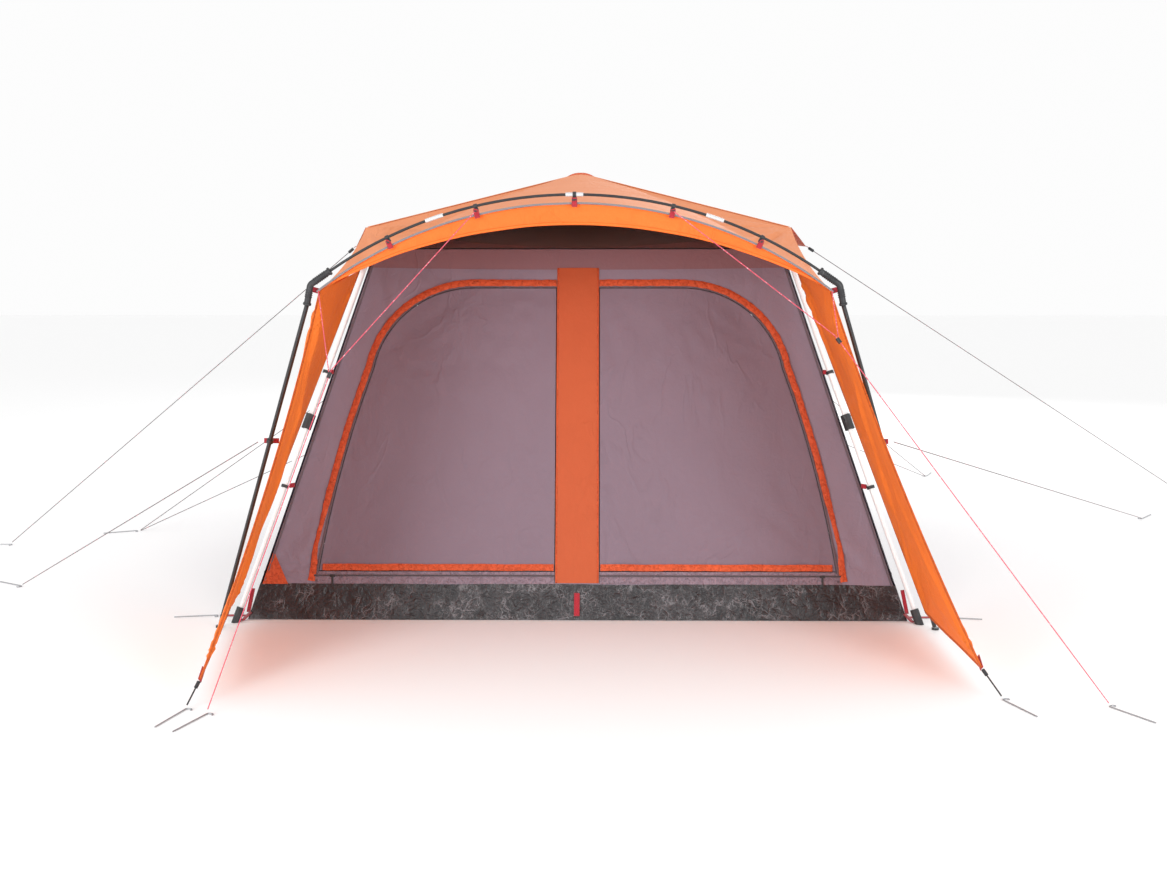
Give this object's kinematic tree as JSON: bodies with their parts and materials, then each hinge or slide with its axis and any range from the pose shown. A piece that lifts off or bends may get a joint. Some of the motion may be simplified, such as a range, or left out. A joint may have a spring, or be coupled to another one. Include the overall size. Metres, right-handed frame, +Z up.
{
  "type": "cabin tent with porch",
  "caption": "Frame tent with telescopic corner legs, hub roof, arched porch roof, two zipped front doors and guy lines.",
  "frame": {"origin": "centre of the groundsheet underside, on the ground", "axes": "+Z up, -Y out of the porch, +X to the right seen from the porch"},
  "size_m": [7.9616, 5.6652, 2.115],
  "materials": {
    "orange_cloth": "woven polyester, matt",
    "grey_cloth": "thin woven polyester",
    "trim_cloth": "woven polyester, puckered seams",
    "mesh": "fine insect mesh",
    "tub_sheet": "coated, crinkled, shiny",
    "piping": "tape",
    "white_tube": "satin",
    "black_tube": "satin",
    "arch_rod": "satin",
    "ferrule": "satin",
    "black_plastic": "moulded",
    "steel": "dull",
    "webbing": "woven webbing",
    "red_cord": "braided",
    "grey_cord": "braided"
  },
  "bodies": {
    "root": {"arch_ferrules": "ferrule", "arch_hooks": "black_plastic", "arch_poles": "arch_rod", "canopy": "orange_cloth", "canopy_piping": "piping", "canopy_skirts": "orange_cloth", "door_strip": "trim_cloth", "door_trims": "trim_cloth", "elbow_line_left": "red_cord", "elbow_line_right": "red_cord", "front_guy_left": "red_cord", "front_guy_right": "red_cord", "front_wall": "grey_cloth", "ground_straps": "webbing", "groundsheet": "tub_sheet", "guy_fittings": "black_plastic", "inner_ceiling": "mesh", "knuckle_pins": "steel", "leg_hooks": "black_plastic", "lock_collars": "black_plastic", "peg_rings": "steel", "pegs": "steel", "porch_elbows": "black_plastic", "porch_guy_left": "grey_cord", "porch_guy_right": "grey_cord", "porch_legs": "black_tube", "rear_guy_left": "grey_cord", "rear_guy_right": "grey_cord", "rear_wall": "grey_cloth", "roof_knuckles": "black_plastic", "side_awnings": "orange_cloth", "side_guy_left": "grey_cord", "side_guy_right": "grey_cord", "side_walls": "grey_cloth", "side_windows": "mesh", "upper_legs": "white_tube", "valance": "orange_cloth", "wing_left": "orange_cloth", "wing_right": "orange_cloth"},
    "roof_hub": {"roof_hub": "black_plastic"},
    "door_left": {"door_left": "grey_cloth"},
    "door_right": {"door_right": "grey_cloth"},
    "zip_slider_left": {"zip_slider_left": "black_plastic"},
    "zip_slider_right": {"zip_slider_right": "black_plastic"},
    "roof_pole_fl": {"roof_pole_fl": "black_tube"},
    "lower_leg_fl": {"lower_leg_fl": "white_tube", "foot_fl": "black_plastic"},
    "lock_button_fl": {"lock_button_fl": "black_plastic"},
    "roof_pole_fr": {"roof_pole_fr": "black_tube"},
    "lower_leg_fr": {"lower_leg_fr": "white_tube", "foot_fr": "black_plastic"},
    "lock_button_fr": {"lock_button_fr": "black_plastic"},
    "roof_pole_rl": {"roof_pole_rl": "black_tube"},
    "lower_leg_rl": {"lower_leg_rl": "white_tube", "foot_rl": "black_plastic"},
    "lock_button_rl": {"lock_button_rl": "black_plastic"},
    "roof_pole_rr": {"roof_pole_rr": "black_tube"},
    "lower_leg_rr": {"lower_leg_rr": "white_tube", "foot_rr": "black_plastic"},
    "lock_button_rr": {"lock_button_rr": "black_plastic"}
  },
  "joints": [
    {"name": "hub_drop", "type": "slide", "parent": "root", "child": "roof_hub", "axis": [0, 0, -1], "range_m": [0, 0.186], "deforming": ["inner_ceiling"]},
    {"name": "door_left_hinge", "type": "hinge", "parent": "root", "child": "door_left", "pos_m": [-0.102, -1.2365, 0.85], "axis": [0, 0.2961, 0.9552], "range_deg": [0, 88]},
    {"name": "door_right_hinge", "type": "hinge", "parent": "root", "child": "door_right", "pos_m": [0.102, -1.2365, 0.85], "axis": [0, -0.2961, -0.9552], "range_deg": [0, 88]},
    {"name": "zip_left_slide", "type": "slide", "parent": "root", "child": "zip_slider_left", "axis": [1, 0, 0], "range_m": [0, 0.95]},
    {"name": "zip_right_slide", "type": "slide", "parent": "root", "child": "zip_slider_right", "axis": [-1, 0, 0], "range_m": [0, 0.95]},
    {"name": "roof_pole_fl_hinge", "type": "hinge", "parent": "root", "child": "roof_pole_fl", "pos_m": [-0.96764, -0.96764, 1.752], "axis": [-0.7071, 0.7071, 0], "range_deg": [0, 8.3]},
    {"name": "leg_slide_fl", "type": "slide", "parent": "root", "child": "lower_leg_fl", "axis": [0.2978, 0.2978, 0.907], "range_m": [0, 0.45]},
    {"name": "lock_button_fl_push", "type": "slide", "parent": "root", "child": "lock_button_fl", "axis": [-0.7071, 0.7071, 0], "range_m": [0, 0.0035], "stiffness_N_per_m": 400, "springref_m": -0.002},
    {"name": "roof_pole_fr_hinge", "type": "hinge", "parent": "root", "child": "roof_pole_fr", "pos_m": [0.96764, -0.96764, 1.752], "axis": [-0.7071, -0.7071, 0], "range_deg": [0, 8.3]},
    {"name": "leg_slide_fr", "type": "slide", "parent": "root", "child": "lower_leg_fr", "axis": [-0.2978, 0.2978, 0.907], "range_m": [0, 0.45]},
    {"name": "lock_button_fr_push", "type": "slide", "parent": "root", "child": "lock_button_fr", "axis": [0.7071, 0.7071, 0], "range_m": [0, 0.0035], "stiffness_N_per_m": 400, "springref_m": -0.002},
    {"name": "roof_pole_rl_hinge", "type": "hinge", "parent": "root", "child": "roof_pole_rl", "pos_m": [-0.96764, 0.96764, 1.752], "axis": [0.7071, 0.7071, 0], "range_deg": [0, 8.3]},
    {"name": "leg_slide_rl", "type": "slide", "parent": "root", "child": "lower_leg_rl", "axis": [0.2978, -0.2978, 0.907], "range_m": [0, 0.45]},
    {"name": "lock_button_rl_push", "type": "slide", "parent": "root", "child": "lock_button_rl", "axis": [-0.7071, -0.7071, 0], "range_m": [0, 0.0035], "stiffness_N_per_m": 400, "springref_m": -0.002},
    {"name": "roof_pole_rr_hinge", "type": "hinge", "parent": "root", "child": "roof_pole_rr", "pos_m": [0.96764, 0.96764, 1.752], "axis": [0.7071, -0.7071, 0], "range_deg": [0, 8.3]},
    {"name": "leg_slide_rr", "type": "slide", "parent": "root", "child": "lower_leg_rr", "axis": [-0.2978, -0.2978, 0.907], "range_m": [0, 0.45]},
    {"name": "lock_button_rr_push", "type": "slide", "parent": "root", "child": "lock_button_rr", "axis": [0.7071, -0.7071, 0], "range_m": [0, 0.0035], "stiffness_N_per_m": 400, "springref_m": -0.002}
  ],
  "couplings": [
    {"joint": "roof_pole_fl_hinge", "follows": "hub_drop", "rad_per_m": 0.7507},
    {"joint": "roof_pole_fr_hinge", "follows": "hub_drop", "rad_per_m": 0.7507},
    {"joint": "roof_pole_rl_hinge", "follows": "hub_drop", "rad_per_m": 0.7507},
    {"joint": "roof_pole_rr_hinge", "follows": "hub_drop", "rad_per_m": 0.7507}
  ]
}
